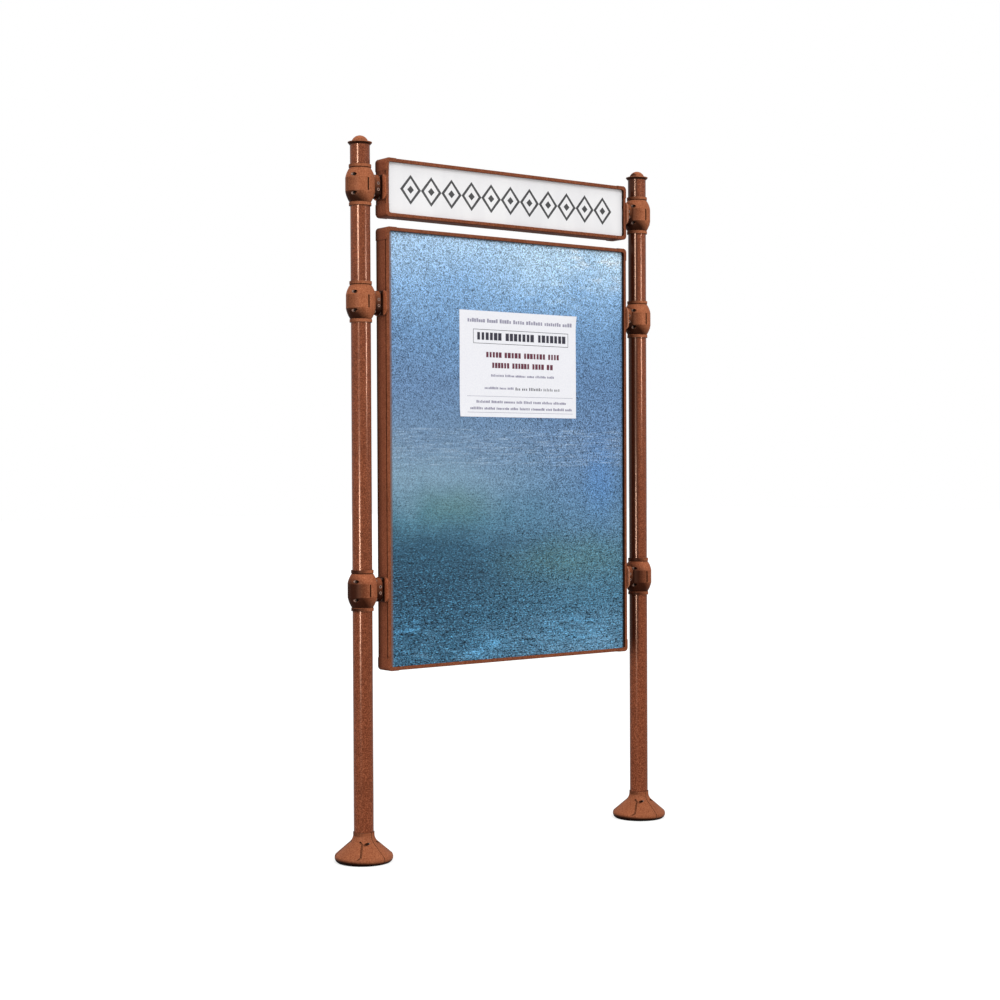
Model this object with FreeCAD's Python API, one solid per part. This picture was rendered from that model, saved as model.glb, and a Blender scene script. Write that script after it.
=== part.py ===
import FreeCAD, Part
import math
import os

# Outdoor notice board: a header sign and a tall poster board, clamped between two round posts.
# Millimetres. The origin is on the ground midway between the posts. +Z is up, +X is to the
# right of someone who reads the board, and the board faces -Y.

# Posts
post_diameter = 63.5
post_wall = 3.2
post_rise_above_sign_collar = 63.0

# Base plates, welded under the posts and bolted to the foundation
plate_diameter = 160.0
plate_thickness = 10.0
plate_drain_diameter = 24.0
anchor_circle = 104.0
anchor_hole_diameter = 14.0
anchor_count = 4
weld_leg = 5.0

# Post caps
cap_flange_overhang = 6.95
cap_collar_step = 1.5
cap_taper_height = 4.5
cap_edge_bevel = 1.5
cap_edge_height = 2.5
cap_top_rise = 3.5
cap_dome_diameter = 52.0
cap_dome_height = 18.0
cap_spigot_length = 25.0
cap_spigot_clearance = 0.15

# Base covers: two cast halves with a seam at the front and at the back
cover_rim_wall = 11.5
cover_rim_foot_inset = 8.0
cover_rim_widest_height = 15.0
cover_rim_top_inset = 2.5
cover_rim_height = 24.0
cover_floor_gap = 0.5
cover_cone_height = 40.2
cover_flare_width = 10.2
cover_flare_height = 20.8
cover_flare_sag = 2.1
cover_neck_wall = 2.1
cover_neck_height = 10.0
cover_bore_clearance = 0.35
cover_plate_clearance = 2.0
cover_ledge_width = 4.0
cover_shell_drop = 5.1
cover_hub_floor = 10.5
cover_seam_gap = 1.6
cover_groove_angle = 51.0
cover_groove_width = 6.0
cover_groove_depth = 2.5
cover_groove_end_margin = 3.0
cover_groove_top_bend = 9.0
cover_groove_top_shift = 6.5
cover_groove_foot_bend = 9.0
cover_groove_foot_shift = 11.0
left_cover_turn = 11.0
right_cover_turn = 0.0
cover_screw_drop = 2.7
cover_screw_wall = 3.6
cover_screw_seat = 12.0

# Socket head screws of the covers
small_screw_diameter = 5.0
small_head_diameter = 8.5
small_head_height = 5.0
small_socket_width = 4.0
small_screw_length = 26.0

# Socket head screws of the collars
collar_screw_diameter = 6.0
collar_head_diameter = 10.0
collar_head_height = 6.0
collar_socket_width = 5.0
collar_screw_length = 28.0

# Clearances round screws
pocket_clearance = 0.75
hole_clearance = 0.3
thread_clearance = 0.05
thread_run_out = 1.0
socket_depth_share_of_head = 0.5

# Clamp collars: a front half and a rear half round the post, with a pair of ears
collar_height = 130.0
collar_barrel_wall = 15.4
collar_band_rise = 22.0
collar_band_drop = 21.0
collar_throat_wall = 2.3
collar_upper_bulge = 2.0
collar_lower_bulge = 1.7
collar_ring_step = 1.8
collar_ring_height = 9.0
collar_ring_bevel = 2.0
collar_bore_clearance = 0.05
collar_split_gap = 1.0
collar_screw_wall = 3.45
collar_screw_spacing = 59.0
collar_screw_seat = 14.0
collar_slot_width = 5.0
collar_slot_length = 41.0
collar_slot_depth = 4.0
ear_width = 40.0
ear_height = 78.0
ear_root_wall = 1.0
ear_length = 15.8
ear_end_gap = 9.0
ear_edge_radius = 2.0
ear_screw_spacing = 20.0

# Pads: the tongue sits between a collar's ears, the flange on the side of a frame
tongue_thickness = 12.0
tongue_height = 44.0
tongue_root_gap = 1.0
pad_thickness = 6.0
pad_overhang = 8.5
pad_corner_radius = 20.0
pad_edge_radius = 1.5
pad_screw_head_gap = 3.75
pad_screw_edge_distance = 9.0
pad_screw_diameter = 6.0
pad_screw_head_diameter = 10.5
pad_screw_head_height = 3.3
pad_socket_width = 4.0

# Frames: four rails and four cast corners round a pair of sheets
opening_width = 1000.0
board_opening_height = 1400.0
sign_opening_height = 164.0
board_bottom_height = 605.0
sign_gap_above_board = 34.0
frame_depth = 60.0
lip_width = 11.0
rail_wall = 3.0
rail_inner_wall = 2.5
rail_box_width = 26.0
sheet_recess = 9.5
sheet_thickness = 1.5
sheet_slot_clearance = 0.2
sheet_edge_clearance = 1.0
sheet_corner_cut = 10.0
sheet_corner_clearance = 1.0
side_groove_inset = 2.5
side_groove_width = 5.0
side_groove_depth = 3.5
corner_leg = 40.0
corner_radius = 14.0
corner_proud = 1.2
corner_inner_radius = 8.0
frame_edge_radius = 2.0
plug_length = 35.0
plug_clearance = 0.2
strip_thickness = 5.0
strip_side_clearance = 4.5
strip_end_clearance = 0.2
strip_plug_gap = 1.0

# Countersunk screws that hold the top and bottom rails on the corner plugs
corner_screw_diameter = 5.0
corner_screw_head_diameter = 9.6
corner_screw_head_height = 2.4
corner_screw_length = 15.0
countersink_clearance = 0.1

# Heights of the collars
board_upper_collar_drop = 243.0
board_lower_collar_rise = 261.0

# Paper notice pasted on the front sheet
notice_width = 500.0
notice_height = 353.0
notice_thickness = 0.4
notice_offset = 34.0
notice_centre_rise = 997.0

# Sizes worked out from the values above
post_radius = post_diameter / 2
frame_width = opening_width + 2 * lip_width
board_height = board_opening_height + 2 * lip_width
sign_height = sign_opening_height + 2 * lip_width
board_top_height = board_bottom_height + board_height
board_centre_height = board_bottom_height + board_height / 2
sign_centre_height = board_top_height + sign_gap_above_board + sign_height / 2
post_top_height = sign_centre_height + collar_height / 2 + post_rise_above_sign_collar
half_depth = frame_depth / 2
sheet_back = half_depth - sheet_recess - sheet_thickness
lip_back = sheet_back + sheet_thickness + sheet_slot_clearance
sheet_inset = rail_wall + sheet_edge_clearance
cavity_half_depth = sheet_back - rail_inner_wall
cover_rim_radius = plate_diameter / 2 + cover_plate_clearance + cover_rim_wall
cover_bore = post_radius + cover_bore_clearance
cover_neck_radius = cover_bore + cover_neck_wall
cover_cone_top_radius = cover_neck_radius + cover_flare_width
cover_cone_top_height = cover_rim_height + cover_cone_height
cover_neck_start_height = cover_cone_top_height + cover_flare_height
cover_height = cover_neck_start_height + cover_neck_height
cover_screw_height = cover_cone_top_height - cover_screw_drop
cover_screw_offset = cover_bore + cover_screw_wall + small_screw_diameter / 2
collar_bore = post_radius + collar_bore_clearance
collar_barrel_radius = collar_bore + collar_barrel_wall
collar_screw_offset = collar_bore + collar_screw_wall + collar_screw_diameter / 2
slot_start = collar_barrel_radius + ear_root_wall
ear_end = slot_start + ear_length
ear_screw_offset = slot_start + ear_length / 2
reach = ear_end + ear_end_gap + pad_thickness
post_axis = frame_width / 2 + reach
pad_width = frame_depth + 2 * pad_overhang
pad_screw_spacing = tongue_height + pad_screw_head_diameter + 2 * pad_screw_head_gap
pad_height = pad_screw_spacing + 2 * pad_screw_edge_distance

V = FreeCAD.Vector
X_AXIS = V(1, 0, 0)
Y_AXIS = V(0, 1, 0)
Z_AXIS = V(0, 0, 1)
ORIGIN = V(0, 0, 0)
FAR = 4 * (post_top_height + post_axis)


def at(radius, height):
    """Point of a turned outline."""
    return V(radius, 0, height)


def bulged(start, end, bulge):
    """Point beside the middle of a chord, to the right of the way from start to end."""
    chord = end - start
    side = V(chord.z, 0, -chord.x)
    side.normalize()
    return (start + end) * 0.5 + side * bulge


def outline(start, *steps):
    """Face inside a closed outline. A step is an end point, or a point on an arc and its end point."""
    edges = []
    here = start
    for step in steps:
        if isinstance(step, tuple):
            through, end = step
            edges.append(Part.Arc(here, through, end).toShape())
        else:
            end = step
            edges.append(Part.makeLine(here, end))
        here = end
    edges.append(Part.makeLine(here, start))
    return Part.Face(Part.Wire(edges))


def turned(face):
    """Solid of a face turned once round the Z axis."""
    return face.revolve(ORIGIN, Z_AXIS, 360)


def box(low, high):
    """Box between two corners."""
    size = high - low
    return Part.makeBox(size.x, size.y, size.z, low)


def rod(radius, start, end):
    """Round bar between two points."""
    run = end - start
    return Part.makeCylinder(radius, run.Length, start, run)


def pointing(shape, direction, place):
    """Copy of a shape made along +Z, turned to a direction and moved to a place."""
    copy = shape.copy()
    copy.Placement = FreeCAD.Placement(place, FreeCAD.Rotation(Z_AXIS, direction))
    return copy


def moved(shape, place):
    """Copy of a shape moved by a vector."""
    copy = shape.copy()
    copy.translate(place)
    return copy


def mirrored(shape):
    """Copy of a shape for the other side of the board."""
    return shape.mirror(ORIGIN, X_AXIS)


def hexagon_bar(width, height):
    """Six-sided bar along +Z, of a width across flats."""
    corner = width / math.sqrt(3)
    angles = [math.radians(60 * i) for i in range(7)]
    ring = Part.makePolygon([V(corner * math.cos(a), corner * math.sin(a), 0) for a in angles])
    return Part.Face(ring).extrude(Z_AXIS * height)


def obround_bar(width, height, start, end):
    """Bar along X whose section has half-round ends at the top and at the bottom."""
    radius = width / 2
    rise = height / 2 - radius
    middle = box(V(start, -radius, -rise), V(end, radius, rise))
    ends = [rod(radius, V(start, 0, z), V(end, 0, z)) for z in (-rise, rise)]
    return middle.fuse(ends).removeSplitter()


def rounded_bar(width, height, radius, start, end):
    """Bar along X whose section has round corners."""
    bar = box(V(start, -width / 2, -height / 2), V(end, width / 2, height / 2))
    long_edges = [e for e in bar.Edges if abs(e.Vertexes[0].X - e.Vertexes[1].X) > Part.Precision.confusion()]
    return bar.makeFillet(radius, long_edges)


def eased_end(bar, x, radius):
    """Copy of a bar along X with the rim of its flat end at x rounded."""
    rim = [e for e in bar.Edges if all(abs(v.X - x) < Part.Precision.confusion() for v in e.Vertexes)]
    return bar.makeFillet(radius, rim)


def socket_screw(diameter, length, head_diameter, head_height, socket_width):
    """Socket head screw along +Z, with the underside of its head at the origin."""
    head = rod(head_diameter / 2, V(0, 0, -head_height), ORIGIN)
    shank = rod(diameter / 2, ORIGIN, V(0, 0, length))
    socket = hexagon_bar(socket_width, head_height * socket_depth_share_of_head)
    return head.fuse(shank).cut(moved(socket, V(0, 0, -head_height)))


def countersunk_screw():
    """Countersunk screw along +Z, with the top of its head at the origin."""
    shank_radius = corner_screw_diameter / 2
    head = Part.makeCone(corner_screw_head_diameter / 2, shank_radius, corner_screw_head_height)
    return head.fuse(rod(shank_radius, ORIGIN, V(0, 0, corner_screw_length)))


def post():
    """Round tube that stands on its base plate."""
    low = V(0, 0, plate_thickness)
    high = V(0, 0, post_top_height)
    return rod(post_radius, low, high).cut(rod(post_radius - post_wall, low, high))


def base_plate():
    """Round plate with anchor holes, and the weld bead round the post."""
    plate = rod(plate_diameter / 2, ORIGIN, V(0, 0, plate_thickness))
    bead = turned(outline(
        at(post_radius, plate_thickness),
        at(post_radius + weld_leg, plate_thickness),
        at(post_radius, plate_thickness + weld_leg)))
    plate = plate.fuse(bead)
    holes = [rod(plate_drain_diameter / 2, ORIGIN, V(0, 0, plate_thickness))]
    for i in range(anchor_count):
        angle = 2 * math.pi * (i + 0.5) / anchor_count
        centre = V(math.cos(angle), math.sin(angle), 0) * (anchor_circle / 2)
        holes.append(rod(anchor_hole_diameter / 2, centre, centre + Z_AXIS * plate_thickness))
    return plate.cut(holes)


def cap():
    """Domed cap with a sloped flange and a spigot inside the tube."""
    spigot = post_radius - post_wall - cap_spigot_clearance
    neck = post_radius + cap_collar_step
    flange = post_radius + cap_flange_overhang
    edge_low = cap_taper_height + cap_edge_bevel
    edge_high = edge_low + cap_edge_height
    flange_top = edge_high + cap_top_rise
    dome = cap_dome_diameter / 2
    sphere = (dome ** 2 + cap_dome_height ** 2) / (2 * cap_dome_height)
    sphere_centre = flange_top + cap_dome_height - sphere
    half_angle = math.asin(dome / sphere) / 2
    on_dome = at(sphere * math.sin(half_angle), sphere_centre + sphere * math.cos(half_angle))
    face = outline(
        at(0, -cap_spigot_length),
        at(spigot, -cap_spigot_length),
        at(spigot, 0),
        at(neck, 0),
        at(flange - cap_edge_bevel, cap_taper_height),
        at(flange, edge_low),
        at(flange, edge_high),
        at(dome, flange_top),
        (on_dome, at(0, flange_top + cap_dome_height)))
    return moved(turned(face), V(0, 0, post_top_height))


def cover_body():
    """Both halves of a base cover in one: cone, neck, hollow underside and the seat on the plate."""
    rim = cover_rim_radius
    neck = cover_neck_radius
    rim_foot = at(rim - cover_rim_foot_inset, cover_floor_gap)
    cone_foot = at(rim - cover_rim_top_inset, cover_rim_height)
    cone_top = at(cover_cone_top_radius, cover_cone_top_height)
    neck_start = at(neck, cover_neck_start_height)
    flare = bulged(cone_top, neck_start, -cover_flare_sag)
    shape = turned(outline(
        at(0, cover_floor_gap),
        rim_foot,
        (at(rim, cover_rim_widest_height), cone_foot),
        cone_top,
        (flare, neck_start),
        at(neck, cover_height),
        at(0, cover_height)))
    pocket = plate_diameter / 2 + cover_plate_clearance
    ledge = plate_diameter / 2 - cover_ledge_width
    slope = (cone_top.z - cone_foot.z) / (cone_top.x - cone_foot.x)
    wall_top = cone_top.z + slope * (ledge - cone_top.x) - cover_shell_drop
    ceiling = cover_screw_height - cover_hub_floor
    ceiling_radius = cone_top.x + (ceiling + cover_shell_drop - cone_top.z) / slope
    hollow = turned(outline(
        at(0, 0),
        at(pocket, 0),
        at(pocket, plate_thickness),
        at(ledge, plate_thickness),
        at(ledge, wall_top),
        at(ceiling_radius, ceiling),
        at(0, ceiling)))
    bore = rod(cover_bore, ORIGIN, V(0, 0, cover_height))
    return shape.cut([hollow, bore] + cover_grooves(cone_foot, cone_top))


def cover_grooves(cone_foot, cone_top):
    """Cutters of the four grooves down the cone. Both ends bend away from the seam."""
    slope = (cone_top.z - cone_foot.z) / (cone_top.x - cone_foot.x)
    middle = (cone_foot + cone_top) * 0.5
    width = cone_foot.x - cone_top.x - 2 * cover_groove_end_margin
    half_run = width / math.cos(math.atan(slope)) / 2
    cutters = []
    for facing in (-90, 90):
        for side in (-1, 1):
            path = [V(-half_run - cover_groove_top_bend, side * cover_groove_top_shift, 0),
                    V(-half_run, 0, 0),
                    V(half_run, 0, 0),
                    V(half_run + cover_groove_foot_bend, side * cover_groove_foot_shift, 0)]
            cutter = groove_bars(path)
            cutter.rotate(ORIGIN, Y_AXIS, -math.degrees(math.atan(slope)))
            cutter.translate(middle)
            cutter.rotate(ORIGIN, Z_AXIS, facing + side * cover_groove_angle)
            cutters.append(cutter)
    return cutters


def groove_bars(path):
    """Bar with round ends and joints along points of the XY plane, a groove's depth above and below it."""
    radius = cover_groove_width / 2
    deep = Z_AXIS * cover_groove_depth
    bars = [rod(radius, point - deep, point + deep) for point in path]
    for start, end in zip(path, path[1:]):
        run = end - start
        bar = box(V(0, -radius, -cover_groove_depth), V(run.Length, radius, cover_groove_depth))
        bar.Placement = FreeCAD.Placement(start, FreeCAD.Rotation(X_AXIS, run))
        bars.append(bar)
    return bars[0].fuse(bars[1:]).removeSplitter()


def cover_pieces():
    """Left half, right half and the two screws of a base cover."""
    body = cover_body()
    screw = socket_screw(small_screw_diameter, small_screw_length, small_head_diameter,
                         small_head_height, small_socket_width)
    pocket_radius = small_head_diameter / 2 + pocket_clearance
    clear_radius = small_screw_diameter / 2 + hole_clearance
    tapped_radius = small_screw_diameter / 2 + thread_clearance
    thread_end = small_screw_length - cover_screw_seat + thread_run_out
    halves = {}
    for side in (-1, 1):
        low = V(min(0, side * FAR), -FAR, -FAR)
        high = V(max(0, side * FAR), FAR, FAR)
        half = body.common(moved(box(low, high), V(side * cover_seam_gap / 2, 0, 0)))
        # The head is on this half at the front for the left half, at the back for the right one.
        head_y = side * cover_screw_offset
        tip_y = -head_y
        seat = side * cover_screw_seat
        outside = side * cover_rim_radius
        cutters = [
            rod(pocket_radius, V(seat, head_y, cover_screw_height), V(outside, head_y, cover_screw_height)),
            rod(clear_radius, V(0, head_y, cover_screw_height), V(seat, head_y, cover_screw_height)),
            rod(tapped_radius, V(0, tip_y, cover_screw_height),
                V(side * thread_end, tip_y, cover_screw_height)),
            rod(pocket_radius, V(side * thread_end, tip_y, cover_screw_height),
                V(outside, tip_y, cover_screw_height)),
        ]
        halves[side] = half.cut(cutters)
    screws = []
    for side in (-1, 1):
        place = V(side * cover_screw_seat, side * cover_screw_offset, cover_screw_height)
        screws.append(pointing(screw, X_AXIS * -side, place))
    return halves[-1], halves[1], Part.makeCompound(screws)


def collar_body():
    """Both halves of a collar in one, for a post on the left: barrel, rings, ears and bore."""
    half_height = collar_height / 2
    throat = collar_bore + collar_throat_wall
    ring = throat + collar_ring_step
    ring_foot = half_height - collar_ring_height
    throat_rise = ring_foot - collar_ring_bevel
    band_low = at(collar_barrel_radius, -collar_band_drop)
    band_high = at(collar_barrel_radius, collar_band_rise)
    low_shoulder = bulged(at(throat, -throat_rise), band_low, collar_lower_bulge)
    high_shoulder = bulged(band_high, at(throat, throat_rise), collar_upper_bulge)
    barrel = turned(outline(
        at(0, -half_height),
        at(ring, -half_height),
        at(ring, -ring_foot),
        at(throat, -throat_rise),
        (low_shoulder, band_low),
        band_high,
        (high_shoulder, at(throat, throat_rise)),
        at(ring, ring_foot),
        at(ring, half_height),
        at(0, half_height)))
    ears = eased_end(obround_bar(ear_width, ear_height, 0, ear_end), ear_end, ear_edge_radius)
    shape = barrel.fuse(ears).removeSplitter()
    bore = rod(collar_bore, V(0, 0, -half_height), V(0, 0, half_height))
    tongue_slot = box(V(slot_start, -tongue_thickness / 2, -half_height),
                      V(ear_end, tongue_thickness / 2, half_height))
    return shape.cut([bore, tongue_slot] + collar_slots())


def collar_slots():
    """Cutters of the blind upright slots at the front and at the back of the barrel."""
    reach_in = collar_barrel_radius - collar_slot_depth
    radius = collar_slot_width / 2
    rise = collar_slot_length / 2 - radius
    cutters = []
    for side in (-1, 1):
        near = side * reach_in
        far = side * collar_barrel_radius
        low_y = min(near, far)
        high_y = max(near, far)
        cutters.append(box(V(-radius, low_y, -rise), V(radius, high_y, rise)))
        cutters += [rod(radius, V(0, near, z), V(0, far, z)) for z in (-rise, rise)]
    return cutters


def collar_screw_places():
    """X and Z of the six screws of a collar: four beside the post, two through the ears."""
    places = []
    for z in (-collar_screw_spacing / 2, collar_screw_spacing / 2):
        places += [(-collar_screw_offset, z), (collar_screw_offset, z)]
    for z in (-ear_screw_spacing / 2, ear_screw_spacing / 2):
        places.append((ear_screw_offset, z))
    return places


def collar_pieces():
    """Front half, rear half and screws of a collar for a post on the left, round the origin."""
    body = collar_body()
    split = collar_split_gap / 2
    front = body.common(box(V(-FAR, -FAR, -FAR), V(FAR, -split, FAR)))
    rear = body.common(box(V(-FAR, split, -FAR), V(FAR, FAR, FAR)))
    screw = socket_screw(collar_screw_diameter, collar_screw_length, collar_head_diameter,
                         collar_head_height, collar_socket_width)
    pocket_radius = collar_head_diameter / 2 + pocket_clearance
    clear_radius = collar_screw_diameter / 2 + hole_clearance
    tapped_radius = collar_screw_diameter / 2 + thread_clearance
    seat = -collar_screw_seat
    thread_end = seat + collar_screw_length + thread_run_out
    outside = -collar_barrel_radius
    front_cutters = []
    rear_cutters = []
    screws = []
    for x, z in collar_screw_places():
        front_cutters.append(rod(pocket_radius, V(x, outside, z), V(x, seat, z)))
        front_cutters.append(rod(clear_radius, V(x, seat, z), V(x, 0, z)))
        rear_cutters.append(rod(tapped_radius, V(x, 0, z), V(x, thread_end, z)))
        screws.append(pointing(screw, Y_AXIS, V(x, seat, z)))
    return front.cut(front_cutters), rear.cut(rear_cutters), screws


def pad_piece():
    """Flange with a tongue, for a post on the left, round the post's axis."""
    flange = rounded_bar(pad_width, pad_height, pad_corner_radius, reach - pad_thickness, reach)
    flange = eased_end(flange, reach - pad_thickness, pad_edge_radius)
    tongue = box(V(slot_start + tongue_root_gap, -tongue_thickness / 2, -tongue_height / 2),
                 V(reach - pad_thickness, tongue_thickness / 2, tongue_height / 2))
    clear_radius = collar_screw_diameter / 2 + hole_clearance
    cutters = []
    for z in (-ear_screw_spacing / 2, ear_screw_spacing / 2):
        cutters.append(rod(clear_radius, V(ear_screw_offset, -tongue_thickness, z),
                           V(ear_screw_offset, tongue_thickness, z)))
    return flange.fuse(tongue).cut(cutters + pad_screw_holes(hole_clearance))


def pad_screw_heights():
    """Heights of the two pad screws from the middle of the pad."""
    return (-pad_screw_spacing / 2, pad_screw_spacing / 2)


def pad_screw_tip():
    """Distance of a pad screw's tip from the post's axis."""
    return reach + rail_wall + strip_thickness


def pad_screw_holes(clearance):
    """Cutters of the pad screw holes through a pad, a rail or a strip on the left."""
    radius = pad_screw_diameter / 2 + clearance
    start = reach - pad_thickness
    return [rod(radius, V(start, 0, z), V(pad_screw_tip(), 0, z)) for z in pad_screw_heights()]


def pad_screws():
    """Round-headed screws that hold a pad on the left side of a frame."""
    length = pad_screw_tip() - (reach - pad_thickness)
    screw = socket_screw(pad_screw_diameter, length, pad_screw_head_diameter,
                         pad_screw_head_height, pad_socket_width)
    return [pointing(screw, X_AXIS, V(reach - pad_thickness, 0, z)) for z in pad_screw_heights()]


def rail_section(proud):
    """Outer section of a frame, in the YZ plane, with its inside below. A rail's outer face is at Z = 0."""
    face = half_depth + proud
    points = [(-face, proud), (face, proud), (face, -lip_width), (lip_back, -lip_width),
              (lip_back, -rail_wall), (sheet_back, -rail_wall), (sheet_back, -rail_box_width)]
    points += [(-y, z) for y, z in reversed(points[2:])]
    return Part.Face(Part.makePolygon([V(0, y, z) for y, z in points + points[:1]]))


def rail(length):
    """Hollow rail along X from the origin, with a groove near each edge of its outer face."""
    bar = rail_section(0).extrude(X_AXIS * length)
    cavity = box(V(0, -cavity_half_depth, rail_inner_wall - rail_box_width),
                 V(length, cavity_half_depth, -rail_wall))
    groove_y = half_depth - side_groove_inset
    groove = box(V(0, groove_y - side_groove_width, -side_groove_depth), V(length, groove_y, 0))
    return bar.cut([cavity, groove, groove.mirror(ORIGIN, Y_AXIS)])


def plug(length, outer_gap):
    """Plug along X from the origin that fills a rail's cavity from a depth below the outer wall."""
    inside = cavity_half_depth - plug_clearance
    low = rail_inner_wall - rail_box_width + plug_clearance
    return box(V(0, -inside, low), V(length, inside, -rail_wall - outer_gap))


def corner():
    """Cast top left corner, with the rails' outer corner at the origin: two legs, and a plug for each rail."""
    section = rail_section(corner_proud)
    top_leg = moved(section.extrude(X_AXIS * (corner_proud + corner_leg)), X_AXIS * -corner_proud)
    top_plug = moved(plug(plug_length, plug_clearance), X_AXIS * corner_leg)
    side_plug = standing_left(moved(plug(plug_length, strip_thickness + strip_plug_gap), X_AXIS * corner_leg))
    tapped = rod(corner_screw_diameter / 2 + thread_clearance, V(corner_screw_run(), 0, 0),
                 V(corner_screw_run(), 0, -corner_screw_length - thread_run_out))
    additions = [standing_left(top_leg), top_plug, side_plug, corner_fill()] + corner_webs()
    return top_leg.fuse(additions).removeSplitter().cut(tapped)


def corner_fill():
    """Three-sided block that closes the sheet slots at the outer corner, behind the cut sheet corners."""
    leg = 2 * sheet_inset + sheet_corner_cut - sheet_corner_clearance + corner_proud
    face = half_depth + corner_proud
    low = V(-corner_proud, -face, corner_proud)
    ring = Part.makePolygon([low, V(leg, -face, corner_proud), V(-corner_proud, -face, -leg), low])
    return Part.Face(ring).extrude(Y_AXIS * 2 * face)


def corner_webs():
    """Webs that round the inner corner of the front lip and of the back lip."""
    inner = V(lip_width, lip_back, -lip_width)
    along = inner + X_AXIS * corner_inner_radius
    down = inner - Z_AXIS * corner_inner_radius
    centre = along - Z_AXIS * corner_inner_radius
    bow = V(-1, 0, 1)
    bow.normalize()
    face = outline(inner, along, (centre + bow * corner_inner_radius, down))
    web = face.extrude(Y_AXIS * (half_depth + corner_proud - lip_back))
    return [web, web.mirror(ORIGIN, Y_AXIS)]


def corner_screw_run():
    """Distance of a corner screw from the outer corner, along the top or bottom rail."""
    return corner_leg + plug_length / 2


def standing_left(shape):
    """Copy of a piece of the top rail, turned to run down the left side of the frame."""
    return shape.mirror(ORIGIN, V(1, 0, 1))


def countersink():
    """Cutter of a corner screw's hole in a rail, along -Z from the outer face."""
    spread = countersink_clearance
    cone = Part.makeCone(corner_screw_head_diameter / 2 + spread, corner_screw_diameter / 2 + spread,
                         corner_screw_head_height, ORIGIN, Z_AXIS * -1)
    shank = rod(corner_screw_diameter / 2 + spread, ORIGIN, V(0, 0, -corner_screw_length))
    return cone.fuse(shank)


def rounded_block(height, proud):
    """Block of a frame's outer size and more round the origin, with round corners and eased edges."""
    half = V(frame_width / 2 + proud, half_depth + proud, height / 2 + proud)
    block = box(half * -1, half)
    upright = [e for e in block.Edges if abs(e.tangentAt(e.FirstParameter).y) > 0.5]
    block = block.makeFillet(corner_radius, upright)
    rims = [e for f in block.Faces if abs(f.normalAt(0, 0).y) > 0.5 for e in f.Edges]
    return block.makeFillet(frame_edge_radius, rims)


def side_holes(clearance, collar_rises):
    """Cutters of the pad screw holes in the left side of a frame, one pair for each collar."""
    pairs = [(rise, hole) for rise in collar_rises for hole in pad_screw_holes(clearance)]
    return [moved(hole, V(-post_axis, 0, rise)) for rise, hole in pairs]


def sheet(half_width, half_height):
    """Front sheet of a frame round the origin, with its corners cut off."""
    cut_x = half_width - sheet_corner_cut
    cut_z = half_height - sheet_corner_cut
    points = [(cut_x, half_height), (half_width, cut_z), (half_width, -cut_z), (cut_x, -half_height)]
    points += [(-x, z) for x, z in reversed(points)]
    front = -sheet_back - sheet_thickness
    ring = Part.makePolygon([V(x, front, z) for x, z in points + points[:1]])
    return Part.Face(ring).extrude(Y_AXIS * sheet_thickness)


def frame_pieces(height, collar_rises):
    """Rails, corners, sheets, strips and corner screws of a frame round the origin."""
    block = rounded_block(height, 0)
    left = -frame_width / 2
    top = height / 2
    across = rail(frame_width - 2 * corner_leg)
    screw_runs = [plug_length / 2, frame_width - 2 * corner_leg - plug_length / 2]
    across = across.cut([moved(countersink(), X_AXIS * run) for run in screw_runs])
    top_rail = moved(across, V(left + corner_leg, 0, top)).common(block)
    down = standing_left(rail(height - 2 * corner_leg))
    left_rail = moved(down, V(left, 0, top - corner_leg)).common(block)
    left_rail = left_rail.cut(side_holes(hole_clearance, collar_rises))
    top_left = moved(corner(), V(left, 0, top)).common(rounded_block(height, corner_proud))
    top_left = top_left.cut(side_holes(hole_clearance, collar_rises))
    strip_half_width = cavity_half_depth - strip_side_clearance
    strip_rise = top - corner_leg - strip_end_clearance
    strip = box(V(left + rail_wall, -strip_half_width, -strip_rise),
                V(left + rail_wall + strip_thickness, strip_half_width, strip_rise))
    strip = strip.cut(side_holes(thread_clearance, collar_rises))
    front_sheet = sheet(frame_width / 2 - sheet_inset, top - sheet_inset)
    screws = []
    for run in screw_runs:
        screws.append(pointing(countersunk_screw(), Z_AXIS * -1, V(left + corner_leg + run, 0, top)))
        screws.append(pointing(countersunk_screw(), Z_AXIS, V(left + corner_leg + run, 0, -top)))
    return {
        "rail_top": top_rail,
        "rail_bottom": top_rail.mirror(ORIGIN, Z_AXIS),
        "rail_left": left_rail,
        "rail_right": mirrored(left_rail),
        "corner_top_left": top_left,
        "corner_top_right": mirrored(top_left),
        "corner_bottom_left": top_left.mirror(ORIGIN, Z_AXIS),
        "corner_bottom_right": mirrored(top_left.mirror(ORIGIN, Z_AXIS)),
        "sheet_front": front_sheet,
        "sheet_back": front_sheet.mirror(ORIGIN, Y_AXIS),
        "backing_strips": Part.makeCompound([strip, mirrored(strip)]),
        "corner_screws": Part.makeCompound(screws),
    }


def notice():
    """Paper sheet pasted on the front of the board."""
    back = -sheet_back - sheet_thickness
    left = notice_offset - notice_width / 2
    low = board_bottom_height + notice_centre_rise - notice_height / 2
    return box(V(left, back - notice_thickness, low),
               V(left + notice_width, back, low + notice_height))


def post_set():
    """Posts with their base plates, caps and base covers."""
    parts = {}
    for side, x in (("left", -post_axis), ("right", post_axis)):
        parts["post_" + side] = moved(post(), V(x, 0, 0))
        parts["base_plate_" + side] = moved(base_plate(), V(x, 0, 0))
        parts["cap_" + side] = moved(cap(), V(x, 0, 0))
    west, east, screws = cover_pieces()
    covers = (("left", -post_axis, left_cover_turn, west, east),
              ("right", post_axis, right_cover_turn, east, west))
    for side, x, turn, outer, inner in covers:
        for piece, shape in (("outer_half", outer), ("inner_half", inner), ("screws", screws)):
            placed = shape.copy()
            placed.rotate(ORIGIN, Z_AXIS, turn)
            parts["base_cover_" + side + "_" + piece] = moved(placed, V(x, 0, 0))
    return parts


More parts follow.
